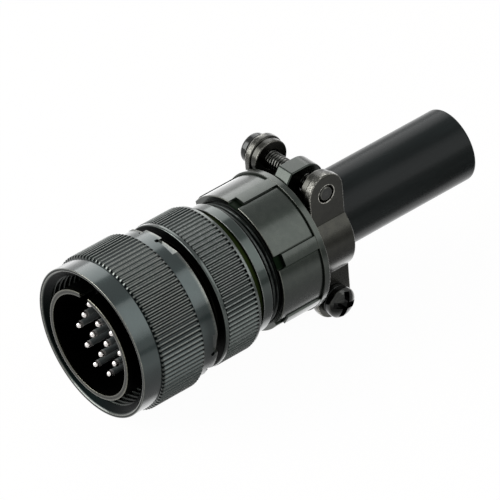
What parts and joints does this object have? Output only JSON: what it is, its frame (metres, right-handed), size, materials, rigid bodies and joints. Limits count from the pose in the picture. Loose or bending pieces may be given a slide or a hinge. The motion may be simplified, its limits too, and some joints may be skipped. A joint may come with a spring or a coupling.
{
  "type": "circular cable plug",
  "caption": "Straight round cable plug: slotted pin barrel in a knurled coupling nut, knurled end bell, ribbed cable clamp with two screwed saddles and a rubber bushing tube.",
  "frame": {"origin": "centre of the barrel's mating rim", "axes": "+X along the plug's axis to the cable end, +Z to the keyway, -Y to the side with the lower screw's head"},
  "size_m": [0.1043, 0.0372, 0.038],
  "materials": {
    "dark_metal": "dark plated",
    "cast_metal": "olive-grey plated casting",
    "screw_metal": "dark plated",
    "plain_metal": "plain",
    "contact_metal": "silver plated",
    "insulator": "moulded",
    "rubber": "smooth moulded"
  },
  "bodies": {
    "plug": {"plug_shell": "dark_metal", "nut_retaining_ring": "plain_metal", "front_insert": "insulator", "rear_insert": "insulator", "insert_lock_ring": "plain_metal", "contact_01": "contact_metal", "contact_02": "contact_metal", "contact_03": "contact_metal", "contact_04": "contact_metal", "contact_05": "contact_metal", "contact_06": "contact_metal", "contact_07": "contact_metal", "contact_08": "contact_metal", "contact_09": "contact_metal", "contact_10": "contact_metal", "contact_11": "contact_metal", "contact_12": "contact_metal", "contact_13": "contact_metal", "contact_14": "contact_metal", "end_bell": "dark_metal", "slip_washer_ring": "plain_metal", "bushing": "rubber", "clamp_body": "cast_metal", "near_saddle": "cast_metal"},
    "nut": {"coupling_nut": "dark_metal"},
    "far_clamp": {"far_saddle": "cast_metal"},
    "upper_screw_body": {"upper_screw": "screw_metal", "upper_lock_washer": "screw_metal"},
    "lower_screw_body": {"lower_screw": "screw_metal", "lower_lock_washer": "screw_metal"}
  },
  "joints": [
    {"name": "nut_turn", "type": "hinge", "parent": "plug", "child": "nut", "pos_m": [0.011, 0, 0], "axis": [1, 0, 0], "continuous": true},
    {"name": "far_saddle_close", "type": "slide", "parent": "plug", "child": "far_clamp", "axis": [0, -1, 0], "range_m": [-0.002, 0.002]},
    {"name": "upper_screw_turn", "type": "hinge", "parent": "far_clamp", "child": "upper_screw_body", "pos_m": [0.0604, 0, 0.0142], "axis": [0, -1, 0], "range_deg": [-910, 910]},
    {"name": "lower_screw_turn", "type": "hinge", "parent": "plug", "child": "lower_screw_body", "pos_m": [0.0604, 0, -0.0142], "axis": [0, 1, 0], "range_deg": [-910, 910]}
  ],
  "couplings": [
    {"joint": "upper_screw_turn", "follows": "far_saddle_close", "rad_per_m": 7913.3},
    {"joint": "lower_screw_turn", "follows": "far_saddle_close", "rad_per_m": 7913.3}
  ]
}
